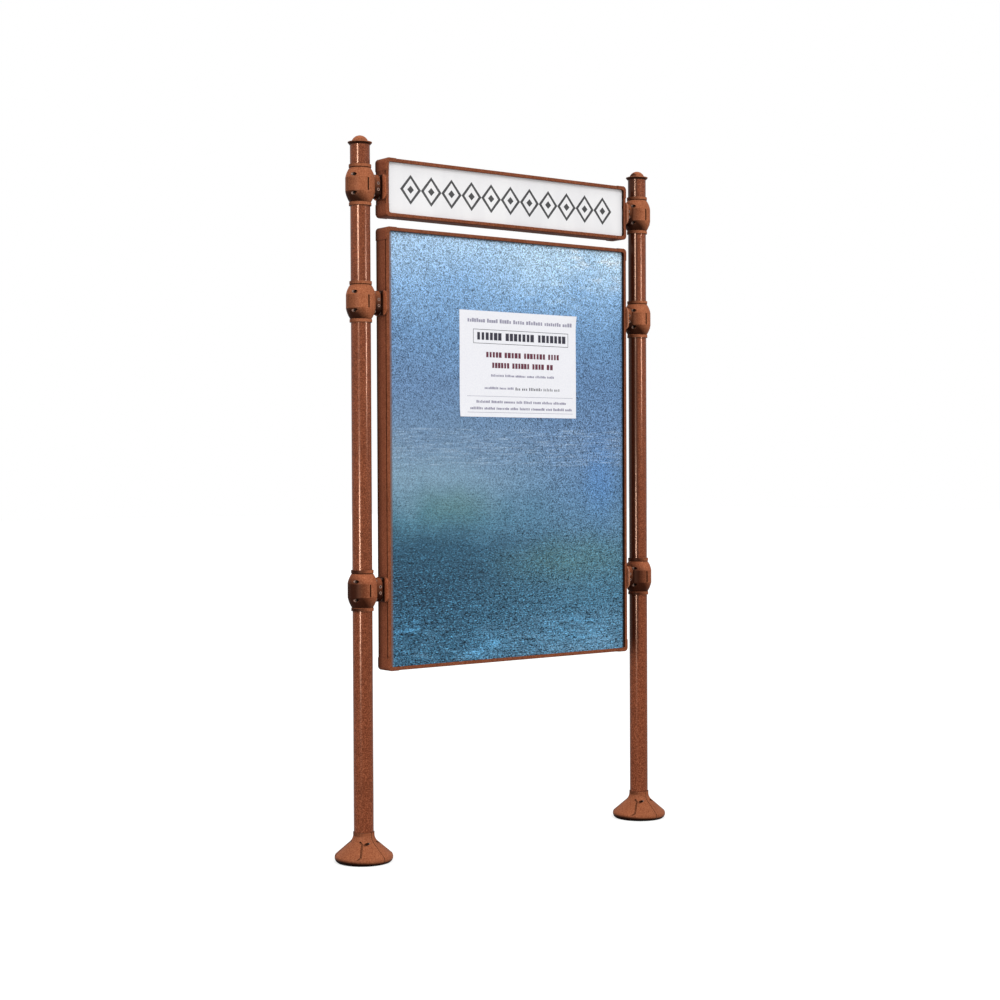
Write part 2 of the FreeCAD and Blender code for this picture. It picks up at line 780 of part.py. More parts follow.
def panel_set(name, height, centre_height, collar_rises):
    """A framed panel with the collars that carry it. Collar rises are heights from its centre, by name."""
    parts = {}
    for piece, shape in frame_pieces(height, collar_rises.values()).items():
        parts[name + "_" + piece] = moved(shape, V(0, 0, centre_height))
    front, rear, screws = collar_pieces()
    pad = pad_piece()
    collar_screws = []
    flange_screws = []
    for level, rise in collar_rises.items():
        place = V(-post_axis, 0, centre_height + rise)
        for side, turn in (("left", moved), ("right", mirrored_to)):
            where = "_".join(word for word in (level, side) if word)
            parts[name + "_collar_" + where + "_front"] = turn(front, place)
            parts[name + "_collar_" + where + "_rear"] = turn(rear, place)
            parts[name + "_pad_" + where] = turn(pad, place)
            collar_screws += [turn(screw, place) for screw in screws]
            flange_screws += [turn(screw, place) for screw in pad_screws()]
    parts[name + "_collar_screws"] = Part.makeCompound(collar_screws)
    parts[name + "_pad_screws"] = Part.makeCompound(flange_screws)
    return parts


def mirrored_to(shape, place):
    """Copy of a shape moved by a vector on the left, then mirrored to the right."""
    return mirrored(moved(shape, place))


def build():
    """All the pieces of the notice board, by name."""
    board_rises = {
        "upper": board_height / 2 - board_upper_collar_drop,
        "lower": board_lower_collar_rise - board_height / 2,
    }
    parts = post_set()
    parts.update(panel_set("sign", sign_height, sign_centre_height, {"": 0.0}))
    parts.update(panel_set("board", board_height, board_centre_height, board_rises))
    parts["notice_sheet"] = notice()
    return parts


os.makedirs("parts", exist_ok=True)
for node, shape in build().items():
    shape.exportStep("parts/" + node + ".step")
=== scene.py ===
"""Looks of the outdoor notice board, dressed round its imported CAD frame. Metres, +Z up, facing -Y."""

import logging
import math
import random
from dataclasses import dataclass, replace
from enum import Enum
from typing import Optional, Sequence, Union

import bmesh
import bpy
from mathutils import Matrix, Vector


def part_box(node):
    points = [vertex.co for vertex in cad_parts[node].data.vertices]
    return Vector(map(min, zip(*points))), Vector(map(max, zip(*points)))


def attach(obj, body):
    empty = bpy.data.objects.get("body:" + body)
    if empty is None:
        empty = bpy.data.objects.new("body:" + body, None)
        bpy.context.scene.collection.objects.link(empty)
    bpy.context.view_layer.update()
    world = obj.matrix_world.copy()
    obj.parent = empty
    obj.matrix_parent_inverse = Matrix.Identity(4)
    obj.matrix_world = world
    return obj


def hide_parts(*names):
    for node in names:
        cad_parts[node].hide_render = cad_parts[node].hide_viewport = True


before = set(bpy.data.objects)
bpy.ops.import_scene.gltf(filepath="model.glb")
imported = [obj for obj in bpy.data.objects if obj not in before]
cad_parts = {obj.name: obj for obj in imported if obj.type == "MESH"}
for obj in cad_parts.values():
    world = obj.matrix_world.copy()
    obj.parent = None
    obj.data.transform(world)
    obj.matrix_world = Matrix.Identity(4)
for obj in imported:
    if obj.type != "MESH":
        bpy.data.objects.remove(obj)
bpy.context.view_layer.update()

LOG = logging.getLogger("notice_board")
MM = 0.001
# Rays of the nodes that look round a point
RAYS = 6
# Span that holds most values of a noise
NOISE_LOW, NOISE_HIGH = 0.3, 0.7
# Sockets of the colour form of the Mix node, which has several sockets of one name
FACTOR, FIRST, SECOND, RESULT = 0, 6, 7, 2

Tree = bpy.types.NodeTree
Node = bpy.types.Node
Socket = bpy.types.NodeSocket
Mesh = bmesh.types.BMesh
Source = Union[Node, Socket]
Setting = Union[float, str, tuple, Source]


class Side(Enum):
    """Left or right, as someone who reads the board sees it."""

    LEFT = "left"
    RIGHT = "right"


class Half(Enum):
    """Halves of a clamp collar."""

    FRONT = "front"
    REAR = "rear"


class Ink(Enum):
    """Inks of the paper notice."""

    DARK = "dark"
    RED = "red"
    GREY = "grey"


def linear(colour: str) -> tuple[float, float, float, float]:
    """Turn an sRGB hex colour into linear RGBA.

    Args:
        colour: Six hex digits after a number sign.

    Returns:
        Linear red, green, blue and an alpha of one.
    """
    channels = [int(colour[i:i + 2], 16) / 255 for i in (1, 3, 5)]
    red, green, blue = [c / 12.92 if c <= 0.04045 else ((c + 0.055) / 1.055) ** 2.4 for c in channels]
    return red, green, blue, 1.0


def per_metre(size_mm: float) -> float:
    """Texture scale at which one cell of a pattern is a size in millimetres."""
    return 1.0 / (size_mm * MM)


def add_node(tree: Tree, kind: str, inputs: Optional[dict[Union[str, int], Setting]] = None,
             stops: Sequence[tuple[float, str]] = (), **settings: Setting) -> Node:
    """Add a shader node with its settings and links.

    Args:
        tree: Node tree that gets the node.
        kind: Blender's name of the node, without its ShaderNode prefix.
        inputs: For each input, by name or index, a value, a socket to link, or a node to link by its
            first output.
        stops: Places and sRGB hex colours of a colour ramp.
        settings: Properties of the node itself.

    Returns:
        The new node.
    """
    node = tree.nodes.new("ShaderNode" + kind)
    for name, value in settings.items():
        setattr(node, name, value)
    for key, value in (inputs or {}).items():
        source = value.outputs[0] if isinstance(value, Node) else value
        if isinstance(source, Socket):
            tree.links.new(source, node.inputs[key])
        else:
            node.inputs[key].default_value = source
    for i, (place, colour) in enumerate(stops):
        element = node.color_ramp.elements[i] if i < 2 else node.color_ramp.elements.new(place)
        element.position = place
        element.color = linear(colour)
    return node


@dataclass(frozen=True)
class Finish:
    """Surface finish with a procedural material."""

    name: str

    def material(self) -> bpy.types.Material:
        """Material of this finish, built the first time it is asked for."""
        found = bpy.data.materials.get(self.name)
        if found:
            return found
        material = bpy.data.materials.new(self.name)
        material.use_nodes = True
        tree = material.node_tree
        tree.nodes.clear()
        place = add_node(tree, "TexCoord").outputs["Object"]
        shader = add_node(tree, "BsdfPrincipled", self.surface(tree, place))
        add_node(tree, "OutputMaterial", {"Surface": shader})
        return material

    def surface(self, tree: Tree, place: Socket) -> dict[str, Setting]:
        """Add the nodes of this finish.

        Args:
            tree: Node tree of the material.
            place: Object coordinates.

        Returns:
            Inputs of the principled shader.
        """
        raise NotImplementedError


@dataclass(frozen=True)
class PowderCoat(Finish):
    """Fine-textured polyester powder coat, baked on steel or cast aluminium.

    Gives a satin copper brown with a fine grain, edges paler from wear and a painted highlight, painted
    shade in corners, on faces that look down and to the left, towards the board and on ears, and painted
    light on outer sides.
    """

    colour: str = "#82472f"
    grain_dark: str = "#6b3822"
    grain_light: str = "#96583c"
    # Painted shade on faces that look down and, by the side lean, to the left
    underside_shade: str = "#2f1108"
    wear_and_highlight: str = "#c98a68"
    gloss_tint: str = "#ffcdb0"
    underside_shade_from: float = -0.15
    underside_shade_to: float = -0.65
    underside_shade_share: float = 0.95
    shade_side_lean: float = 0.45
    # Painted shade on sides that face the board, from the height where the board starts to shade them
    board_shade: float = 0.0
    board_shade_from: float = 0.55
    board_shade_to: float = 0.65
    # Painted shade on sides that face a post, towards the rear and in the middle
    rear_shade: float = 0.0
    rear_depth: float = 0.03
    middle_shade: float = 0.0
    middle_from: float = 0.022
    middle_to: float = 0.016
    # Painted shadow on the ears, by the distance from the board's middle and the height
    ear_shadow: float = 0.0
    ear_head_share: float = 0.2
    ear_from: float = 0.554
    ear_to: float = 0.546
    ear_head: float = 4.0
    ear_foot: float = 3.0
    # Edges paler from wear and a painted highlight, by how far the rounded normal leans from the true one
    edge_share: float = 0.3
    edge_mm: float = 1.2
    edge_from: float = 0.995
    edge_to: float = 0.8
    roughness: float = 0.48
    gloss_swing: float = 0.06
    reflectance: float = 0.06
    orange_peel: float = 0.12
    peel_mm: float = 0.4
    # The real grain is under 1 mm; 4 mm is as fine as the render can show.
    grain_mm: float = 4.0
    patch_mm: float = 120.0
    patch_dark: float = 0.88
    patch_light: float = 1.1
    # Painted light on sides that look away from the board's middle
    side_light: float = 1.0
    # Painted shade in corners, from ambient occlusion
    corner_reach_mm: float = 16.0
    corner_shut: float = 0.2
    corner_open: float = 0.75
    corner_light: float = 0.2

    def surface(self, tree: Tree, place: Socket) -> dict[str, Setting]:
        """Add grain, patches, painted shade on undersides and in corners, and edges paler from wear and a
        painted highlight.
        """
        normal = add_node(tree, "NewGeometry").outputs["Normal"]
        grain = add_node(tree, "TexNoise", {
            "Vector": place, "Scale": per_metre(self.grain_mm), "Detail": 2.0, "Roughness": 0.65})
        patches = add_node(tree, "TexNoise", {
            "Vector": place, "Scale": per_metre(self.patch_mm), "Detail": 4.0, "Roughness": 0.6})
        tone = add_node(tree, "ValToRGB", {"Fac": grain}, stops=[
            (NOISE_LOW, self.grain_dark), (NOISE_HIGH, self.grain_light), (0.5, self.colour)])
        worn = add_node(tree, "MapRange", {
            "Value": patches, "From Min": NOISE_LOW, "From Max": NOISE_HIGH,
            "To Min": self.patch_dark, "To Max": self.patch_light})
        spot = add_node(tree, "SeparateXYZ", {"Vector": place})
        outward = add_node(tree, "Math", {0: spot.outputs["X"]}, operation="SIGN")
        sideways = add_node(tree, "SeparateXYZ", {"Vector": normal}).outputs["X"]
        away = add_node(tree, "Math", {0: outward, 1: sideways}, operation="MULTIPLY")
        # Painted light on sides that look away from the board's middle
        fading_and_side_light = add_node(tree, "MapRange", {
            "Value": away, "From Min": 0.6, "From Max": 0.9, "To Min": 1.0, "To Max": self.side_light})
        level = add_node(tree, "Math", {0: worn, 1: fading_and_side_light}, operation="MULTIPLY")
        paint = add_node(tree, "VectorMath", {0: tone, "Scale": level}, operation="SCALE")
        # Painted shade on faces that look down and to the left
        shade_facing = add_node(tree, "VectorMath", {0: normal, 1: (self.shade_side_lean, 0.0, 1.0)},
                          operation="DOT_PRODUCT")
        under = add_node(tree, "MapRange", {
            "Value": shade_facing.outputs["Value"], "From Min": self.underside_shade_from, "From Max": self.underside_shade_to,
            "To Max": self.underside_shade_share})
        # All painted shade: on undersides, towards the board, towards a post and on ears
        shade_share = add_node(tree, "Math", {0: under, 1: self.painted_shade(tree, spot, away)}, operation="MAXIMUM")
        shaded_paint = add_node(tree, "Mix", {FACTOR: shade_share, FIRST: paint, SECOND: linear(self.underside_shade)},
                         data_type="RGBA")
        # Edges paler, from wear and a painted highlight
        rounded = add_node(tree, "Bevel", {"Radius": self.edge_mm * MM}, samples=RAYS)
        turn = add_node(tree, "VectorMath", {0: rounded, 1: normal}, operation="DOT_PRODUCT")
        edge = add_node(tree, "MapRange", {
            "Value": turn.outputs["Value"], "From Min": self.edge_from, "From Max": self.edge_to,
            "To Max": self.edge_share})
        wear_and_highlight = add_node(tree, "Mix", {
            FACTOR: edge, FIRST: shaded_paint.outputs[RESULT], SECOND: linear(self.wear_and_highlight)}, data_type="RGBA")
        # Painted shade in corners
        open_share = add_node(tree, "AmbientOcclusion", {"Distance": self.corner_reach_mm * MM}, samples=RAYS)
        corner = add_node(tree, "MapRange", {
            "Value": open_share.outputs["AO"], "From Min": self.corner_shut, "From Max": self.corner_open,
            "To Min": self.corner_light})
        colour = add_node(tree, "VectorMath", {0: wear_and_highlight.outputs[RESULT], "Scale": corner},
                          operation="SCALE")
        gloss = add_node(tree, "MapRange", {
            "Value": grain, "From Min": NOISE_LOW, "From Max": NOISE_HIGH,
            "To Min": self.roughness - self.gloss_swing, "To Max": self.roughness + self.gloss_swing})
        inputs = {"Base Color": colour, "Roughness": gloss, "Specular IOR Level": self.reflectance,
                  "Specular Tint": linear(self.gloss_tint)}
        if self.orange_peel:
            inputs["Normal"] = add_node(tree, "Bump", {
                "Strength": self.orange_peel, "Distance": self.peel_mm * MM, "Height": grain,
                "Normal": rounded})
        return inputs

    def painted_shade(self, tree: Tree, spot: Node, away: Node) -> Node:
        """Add painted shade on sides towards the board and towards a post, and painted shadow on ears.

        Args:
            tree: Node tree of the material.
            spot: Node with the three object coordinates.
            away: How far the surface looks away from the middle of the board, from -1 to 1.

        Returns:
            The share of painted shade.
        """
        inner = add_node(tree, "MapRange", {
            "Value": away, "From Min": -0.5, "From Max": -0.8, "To Max": self.board_shade},
            interpolation_type="SMOOTHSTEP")
        beside = add_node(tree, "MapRange", {
            "Value": spot.outputs["Z"], "From Min": self.board_shade_from, "From Max": self.board_shade_to})
        board_side_shade = add_node(tree, "Math", {0: inner, 1: beside}, operation="MULTIPLY")
        behind = add_node(tree, "MapRange", {
            "Value": spot.outputs["Y"], "From Max": self.rear_depth, "To Max": self.rear_shade})
        depth = add_node(tree, "Math", {0: spot.outputs["Y"]}, operation="ABSOLUTE")
        amid = add_node(tree, "MapRange", {
            "Value": depth, "From Min": self.middle_from, "From Max": self.middle_to,
            "To Max": self.middle_shade})
        hidden = add_node(tree, "Math", {0: behind, 1: amid}, operation="MAXIMUM")
        rear = add_node(tree, "Math", {0: hidden, 1: away}, operation="MULTIPLY")
        aside = add_node(tree, "Math", {0: spot.outputs["X"]}, operation="ABSOLUTE")
        on_ear = add_node(tree, "MapRange", {
            "Value": aside, "From Min": self.ear_from, "From Max": self.ear_to})
        ear_shadow_height = add_node(tree, "MapRange", {
            "Value": spot.outputs["Z"], "From Min": self.ear_head, "From Max": self.ear_foot,
            "To Min": self.ear_head_share * self.ear_shadow, "To Max": self.ear_shadow})
        ear = add_node(tree, "Math", {0: on_ear, 1: ear_shadow_height}, operation="MULTIPLY")
        outer = add_node(tree, "Math", {0: board_side_shade, 1: rear}, operation="MAXIMUM")
        return add_node(tree, "Math", {0: outer, 1: ear}, operation="MAXIMUM")


@dataclass(frozen=True)
class Stain:
    """Soft patch of another colour on a sheet, in metres on its face."""

    x: float
    z: float
    width: float
    height: float
    colour: str
    share: float
    wispy: bool = False


@dataclass(frozen=True)
class StainedZinc(Finish):
    """Galvanised steel sheet, dipped and rolled, with a painted reflection of the sky.

    Gives a painted sky reflection from a sky blue top to a deep teal foot, a coarse sparkle of crystals
    drawn out across the sheet, wiped lines at half height and pale wisps where posters were scraped off.
    """

    node: str = "board_sheet_front"
    # How far the rails reach over the sheet's edges
    lap_mm: float = 7.0
    # The crystals are drawn at 3.2 mm so that they show in the render.
    crystal_mm: float = 3.2
    ripple_mm: float = 3.0
    streak_mm: float = 5.0
    speck_mm: float = 3.3
    speck_share: float = 0.45
    cloud_mm: float = 220.0
    drift: float = 0.03
    swirl_mm: float = 120.0
    warp: float = 0.07
    wisp_mm: float = 26.0
    wisp_slant: float = 28.0
    calm_spot: tuple[float, float, float] = (-0.30, 0.0, 1.17)
    # Width and share of the rails' painted shadows along the sheet's edges
    edge_shadow_mm: float = 7.0
    edge_shadow_share: float = 0.85
    # Band of wiped lines, in shares of the sheet's height
    wipe_middle: float = 0.505
    wipe_reach: float = 0.045
    wipe_share: float = 0.5
    relief: float = 0.08
    relief_mm: float = 0.3
    roughness: float = 0.6
    reflectance: float = 0.08
    stains: tuple[Stain, ...] = ()

    def surface(self, tree: Tree, place: Socket) -> dict[str, Setting]:
        """Add the painted sky reflection, stains, crystals, wiped lines and painted edge shadows."""
        low, high = self.opening()
        height = add_node(tree, "MapRange", {
            "Value": add_node(tree, "SeparateXYZ", {"Vector": place}).outputs["Z"],
            "From Min": low.z, "From Max": high.z})
        drawn_out = add_node(tree, "Mapping", {"Vector": place, "Scale": (0.05, 1.0, 1.0)})
        streaks = add_node(tree, "TexNoise", {
            "Vector": drawn_out, "Scale": per_metre(self.streak_mm), "Detail": 3.0, "Roughness": 0.7})
        colour = self.sky_reflection(tree, place, height)
        for stain in self.stains:
            colour = self.stained(tree, place, colour, stain)
        colour = self.wiped(tree, height, streaks, colour)
        crystals = add_node(tree, "TexVoronoi", {
            "Vector": place, "Scale": per_metre(self.crystal_mm)}).outputs["Color"]
        rolled = add_node(tree, "Mapping", {"Vector": place, "Scale": (0.3, 1.0, 1.0)})
        ripples = add_node(tree, "TexNoise", {
            "Vector": rolled, "Scale": per_metre(self.ripple_mm), "Detail": 1.0, "Roughness": 0.6})
        colour = self.specked(tree, place, height, colour)
        from_calm = add_node(tree, "VectorMath", {0: place, 1: self.calm_spot},
                             operation="DISTANCE").outputs["Value"]
        ripple = 1.0
        for pattern, measure, calm, lively, least, most in (
                (crystals, from_calm, 0.1, 0.5, 0.85, 1.9), (ripples, height, 0.45, 0.1, 0.2, 3.6),
                (streaks, height, 0.45, 0.1, 0.4, 2.2)):
            gain = add_node(tree, "MapRange", {
                "Value": measure, "From Min": calm, "From Max": lively, "To Min": least, "To Max": most})
            swing = add_node(tree, "Math", {0: pattern, 1: 0.5}, operation="SUBTRACT")
            ripple = add_node(tree, "Math", {0: swing, 1: gain, 2: ripple}, operation="MULTIPLY_ADD")
        sheet = add_node(tree, "VectorMath", {0: colour, "Scale": ripple}, operation="SCALE")
        bump = add_node(tree, "Bump", {
            "Strength": self.relief, "Distance": self.relief_mm * MM, "Height": crystals})
        return {"Base Color": self.edge_shadows(tree, place, sheet), "Normal": bump,
                "Roughness": self.roughness, "Specular IOR Level": self.reflectance}

    def opening(self) -> tuple[Vector, Vector]:
        """Lower left and upper right corners of what the rails leave free of the sheet."""
        low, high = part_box(self.node)
        lap = Vector((self.lap_mm, 0.0, self.lap_mm)) * MM
        return low + lap, high - lap

    def edge_shadows(self, tree: Tree, place: Socket, colour: Source) -> Source:
        """Lay painted shadows of the rails along the edges over a colour: dark at the head and right,
        brown-grey at the left.

        Args:
            tree: Node tree of the material.
            place: Object coordinates.
            colour: Colour under the shadows.

        Returns:
            The colour with the shadows.
        """
        low, high = self.opening()
        axes = add_node(tree, "SeparateXYZ", {"Vector": place})
        reach = self.edge_shadow_mm * MM
        # Painted shadows of the rails: dark at the head and right, brown-grey at the left
        for axis, start, end, shadow_colour in (
                ("X", high.x - reach, high.x, "#1d2227"), ("Z", high.z - reach, high.z, "#1d2227"),
                ("X", low.x + 2.3 * reach, low.x + 1.5 * reach, "#7a5c52")):
            share = add_node(tree, "MapRange", {
                "Value": axes.outputs[axis], "From Min": start, "From Max": end, "To Max": self.edge_shadow_share})
            colour = add_node(tree, "Mix", {FACTOR: share, FIRST: colour, SECOND: linear(shadow_colour)},
                              data_type="RGBA").outputs[RESULT]
        return colour

    def sky_reflection(self, tree: Tree, place: Socket, height: Node) -> Source:
        """Add the painted sky reflection, a gradient from head to foot, darker low on the left.

        Args:
            tree: Node tree of the material.
            place: Object coordinates.
            height: Share of the sheet's height.

        Returns:
            The colour.
        """
        cloud = add_node(tree, "TexNoise", {
            "Vector": place, "Scale": per_metre(self.cloud_mm), "Detail": 3.0})
        drift = add_node(tree, "MapRange", {
            "Value": cloud, "From Min": NOISE_LOW, "From Max": NOISE_HIGH,
            "To Min": -self.drift, "To Max": self.drift})
        level = add_node(tree, "Math", {0: height, 1: drift}, operation="ADD")
        # Painted sky reflection: sky blue at the head, deep teal at the foot
        left = add_node(tree, "ValToRGB", {"Fac": level}, stops=[
            (0.0, "#365a72"), (1.0, "#a6c6e4"), (0.20, "#2a465a"), (0.28, "#315368"), (0.34, "#4f798d"),
            (0.43, "#7c9bb1"), (0.52, "#6f8ca9"), (0.65, "#6685aa"), (0.78, "#6b90b8"), (0.88, "#84aad1")])
        right = add_node(tree, "ValToRGB", {"Fac": level}, stops=[
            (0.0, "#5c839f"), (1.0, "#b8d5ea"), (0.12, "#456a81"), (0.22, "#4c7184"), (0.32, "#5a7d9a"),
            (0.42, "#597da2"), (0.52, "#6482a6"), (0.65, "#6081a8"), (0.78, "#698fb7"), (0.88, "#86add4")])
        low, high = self.opening()
        lean = add_node(tree, "MapRange", {
            "Value": add_node(tree, "SeparateXYZ", {"Vector": place}).outputs["X"],
            "From Min": 0.7 * low.x, "From Max": 0.9 * high.x}, interpolation_type="SMOOTHSTEP")
        return add_node(tree, "Mix", {FACTOR: lean, FIRST: left, SECOND: right},
                        data_type="RGBA").outputs[RESULT]

    def stained(self, tree: Tree, place: Socket, colour: Source, stain: Stain) -> Source:
        """Lay a stain over a colour.

        Args:
            tree: Node tree of the material.
            place: Object coordinates.
            colour: Colour under the stain.
            stain: What is laid over it.

        Returns:
            The colour with the stain.
        """
        swirl = add_node(tree, "TexNoise", {
            "Vector": place, "Scale": per_metre(self.swirl_mm), "Detail": 3.0})
        shifted = add_node(tree, "VectorMath", {
            0: swirl.outputs["Color"], 1: (self.warp,) * 3, 2: place}, operation="MULTIPLY_ADD")
        half = self.warp / 2
        spot = add_node(tree, "Mapping", {
            "Vector": shifted,
            "Location": (-(stain.x + half) / stain.width, 0.0, -(stain.z + half) / stain.height),
            "Scale": (1 / stain.width, 0.0, 1 / stain.height)})
        away = add_node(tree, "VectorMath", {0: spot}, operation="LENGTH")
        mask = add_node(tree, "MapRange", {
            "Value": away.outputs["Value"], "From Min": 1.0, "From Max": 0.0, "To Max": stain.share},
            interpolation_type="SMOOTHSTEP")
        if stain.wispy:
            slanted = add_node(tree, "Mapping", {
                "Vector": place, "Rotation": (0.0, math.radians(self.wisp_slant), 0.0),
                "Scale": (0.35, 1.0, 1.0)})
            wisps = add_node(tree, "TexNoise", {
                "Vector": slanted, "Scale": per_metre(self.wisp_mm), "Detail": 5.0, "Roughness": 0.65})
            torn = add_node(tree, "MapRange", {"Value": wisps, "From Min": 0.5, "From Max": 0.68})
            mask = add_node(tree, "Math", {0: mask, 1: torn}, operation="MULTIPLY")
        return add_node(tree, "Mix", {FACTOR: mask, FIRST: colour, SECOND: linear(stain.colour)},
                        data_type="RGBA").outputs[RESULT]

    def specked(self, tree: Tree, place: Socket, height: Node, colour: Source) -> Source:
        """Lay bright cyan specks over a colour, low on the sheet.

        Args:
            tree: Node tree of the material.
            place: Object coordinates.
            height: Share of the sheet's height.
            colour: Colour under the specks.

        Returns:
            The colour with the specks.
        """
        drawn_out = add_node(tree, "Mapping", {"Vector": place, "Scale": (0.5, 1.0, 1.0)})
        flakes = add_node(tree, "TexNoise", {
            "Vector": drawn_out, "Scale": per_metre(self.speck_mm), "Detail": 0.0})
        bright = add_node(tree, "MapRange", {
            "Value": flakes, "From Min": 0.55, "From Max": 0.7, "To Max": self.speck_share})
        low = add_node(tree, "MapRange", {"Value": height, "From Min": 0.42, "From Max": 0.15})
        share = add_node(tree, "Math", {0: bright, 1: low}, operation="MULTIPLY")
        return add_node(tree, "Mix", {FACTOR: share, FIRST: colour, SECOND: linear("#5ba6cf")},
                        data_type="RGBA").outputs[RESULT]

    def wiped(self, tree: Tree, height: Node, streaks: Node, colour: Source) -> Source:
        """Lay pale wiped lines over a colour, at half height.

        Args:
            tree: Node tree of the material.
            height: Share of the sheet's height.
            streaks: Noise drawn out across the sheet.
            colour: Colour under the lines.

        Returns:
            The colour with the lines.
        """
        lines = add_node(tree, "MapRange", {
            "Value": streaks, "From Min": 0.5, "From Max": 0.7, "To Max": self.wipe_share})
        band = add_node(tree, "Math", {0: height, 1: self.wipe_middle, 2: self.wipe_reach},
                        operation="COMPARE")
        share = add_node(tree, "Math", {0: lines, 1: band}, operation="MULTIPLY")
        return add_node(tree, "Mix", {FACTOR: share, FIRST: colour, SECOND: linear("#a9bdd0")},
                        data_type="RGBA").outputs[RESULT]


@dataclass(frozen=True)
class Enamel(Finish):
    """Stoved enamel on sheet steel, or cut sign film, rolled smooth.

    Gives an even colour with faint rain marks and a soft gloss.
    """

    colour: str = "#efeeef"
    marked: str = "#e8e7e9"
    roughness: float = 0.4
    gloss_swing: float = 0.1
    reflectance: float = 0.12
    mark_mm: float = 70.0

    def surface(self, tree: Tree, place: Socket) -> dict[str, Setting]:
        """Add upright rain marks and a slight unevenness of the gloss."""
        upright = add_node(tree, "Mapping", {"Vector": place, "Scale": (1.0, 1.0, 0.25)})
        rain = add_node(tree, "TexNoise", {
            "Vector": upright, "Scale": per_metre(self.mark_mm), "Detail": 5.0})
        colour = add_node(tree, "ValToRGB", {"Fac": rain}, stops=[(0.35, self.marked), (0.6, self.colour)])
        gloss = add_node(tree, "MapRange", {
            "Value": rain, "From Min": NOISE_LOW, "From Max": NOISE_HIGH,
            "To Min": self.roughness + self.gloss_swing, "To Max": self.roughness})
        return {"Base Color": colour, "Roughness": gloss, "Specular IOR Level": self.reflectance}


@dataclass(frozen=True)
class BareSteel(Finish):
    """Zinc-plated steel, plated bright and dulled outdoors.

    Gives a grey metal with cloudy patches and painted shade in recesses.
    """

    colour: str = "#a9a6a0"
    dulled: str = "#716d67"
    roughness: float = 0.38
    gloss_swing: float = 0.15
    cloud_mm: float = 9.0
    recess_mm: float = 14.0
    recess_light: float = 0.03
    recess_shut: float = 0.0
    recess_open: float = 1.0
    metallic: float = 1.0
    reflectance: float = 0.5

    def surface(self, tree: Tree, place: Socket) -> dict[str, Setting]:
        """Add cloudy patches to the colour and the gloss, and painted shade in recesses."""
        cloud = add_node(tree, "TexNoise", {
            "Vector": place, "Scale": per_metre(self.cloud_mm), "Detail": 4.0, "Roughness": 0.6})
        colour = add_node(tree, "ValToRGB", {"Fac": cloud}, stops=[(0.35, self.dulled), (0.62, self.colour)])
        gloss = add_node(tree, "MapRange", {
            "Value": cloud, "From Min": NOISE_LOW, "From Max": NOISE_HIGH,
            "To Min": self.roughness + self.gloss_swing, "To Max": self.roughness})
        # Painted shade in recesses, from ambient occlusion
        open_share = add_node(tree, "AmbientOcclusion", {"Distance": self.recess_mm * MM}, samples=RAYS)
        lit = add_node(tree, "MapRange", {
            "Value": open_share.outputs["AO"], "From Min": self.recess_shut, "From Max": self.recess_open,
            "To Min": self.recess_light})
        shaded = add_node(tree, "VectorMath", {0: colour, "Scale": lit}, operation="SCALE")
        return {"Base Color": shaded, "Roughness": gloss, "Metallic": self.metallic,
                "Specular IOR Level": self.reflectance}


@dataclass(frozen=True)
class PrintedMatter(Finish):
    """Uncoated poster paper, or ink soaked into it.

    Gives a matt surface with a faint fibre and a slight fading.
    """

    colour: str = "#f1f1f5"
    fading_and_side_light: str = "#e8e8ef"
    fibre_mm: float = 5.0
    relief: float = 0.06
    relief_mm: float = 0.1
    roughness: float = 0.8
    reflectance: float = 0.25

    def surface(self, tree: Tree, place: Socket) -> dict[str, Setting]:
        """Add fibre and fading."""
        fibre = add_node(tree, "TexNoise", {
            "Vector": place, "Scale": per_metre(self.fibre_mm), "Detail": 6.0, "Roughness": 0.7})
        colour = add_node(tree, "ValToRGB", {"Fac": fibre}, stops=[(0.3, self.fading_and_side_light), (0.65, self.colour)])
        bump = add_node(tree, "Bump", {
            "Strength": self.relief, "Distance": self.relief_mm * MM, "Height": fibre})
        return {"Base Color": colour, "Normal": bump, "Roughness": self.roughness,
                "Specular IOR Level": self.reflectance}


POST_PAINT = PowderCoat(
    "powder_coat_on_tube", colour="#7b3f28", grain_dark="#542713", grain_light="#a05c3e", shade_side_lean=0.0,
    roughness=0.2, gloss_swing=0.01, reflectance=0.25, orange_peel=0.0)
# Rails: painted shade on the lips' inner faces and towards the rear of the sides, painted light on the sides
FRAME_PAINT = PowderCoat(
    "powder_coat_on_rails", colour="#7f4730", grain_dark="#6a3822", grain_light="#94573c", underside_shade="#260e07",
    shade_side_lean=0.0, underside_shade_share=0.2, board_shade=0.95, rear_shade=0.95, side_light=1.5, reflectance=0.03)
# Castings: painted shade on undersides, to the left and in corners
CAST_PAINT = PowderCoat(
    "powder_coat_on_castings", colour="#9e5d3f", grain_dark="#884a2e", grain_light="#b4704c",
    shade_side_lean=0.5, underside_shade="#220903", underside_shade_from=-0.3, underside_shade_to=-0.75, corner_shut=0.5,
    corner_open=0.95, corner_light=0.12)
# Lower collars: a darker copy whose painted shade rises to their middle band
LOW_CAST_PAINT = replace(
    CAST_PAINT, name="powder_coat_on_low_collars", colour="#955439", shade_side_lean=0.7, underside_shade="#2a0e06",
    underside_shade_from=0.1, underside_shade_to=-0.6)
FOOT_PAINT = replace(
    CAST_PAINT, name="powder_coat_on_base_covers", colour="#94563a", grain_dark="#7e442a",
    grain_light="#a96845", underside_shade_from=-0.2, underside_shade_to=-0.7, edge_share=0.15)
# Caps: a strong painted highlight on the flange's edges
CAP_PAINT = replace(
    CAST_PAINT, name="powder_coat_on_caps", underside_shade_from=-0.1, underside_shade_to=-0.6, wear_and_highlight="#d79a7c",
    edge_share=0.6, edge_mm=2.0)
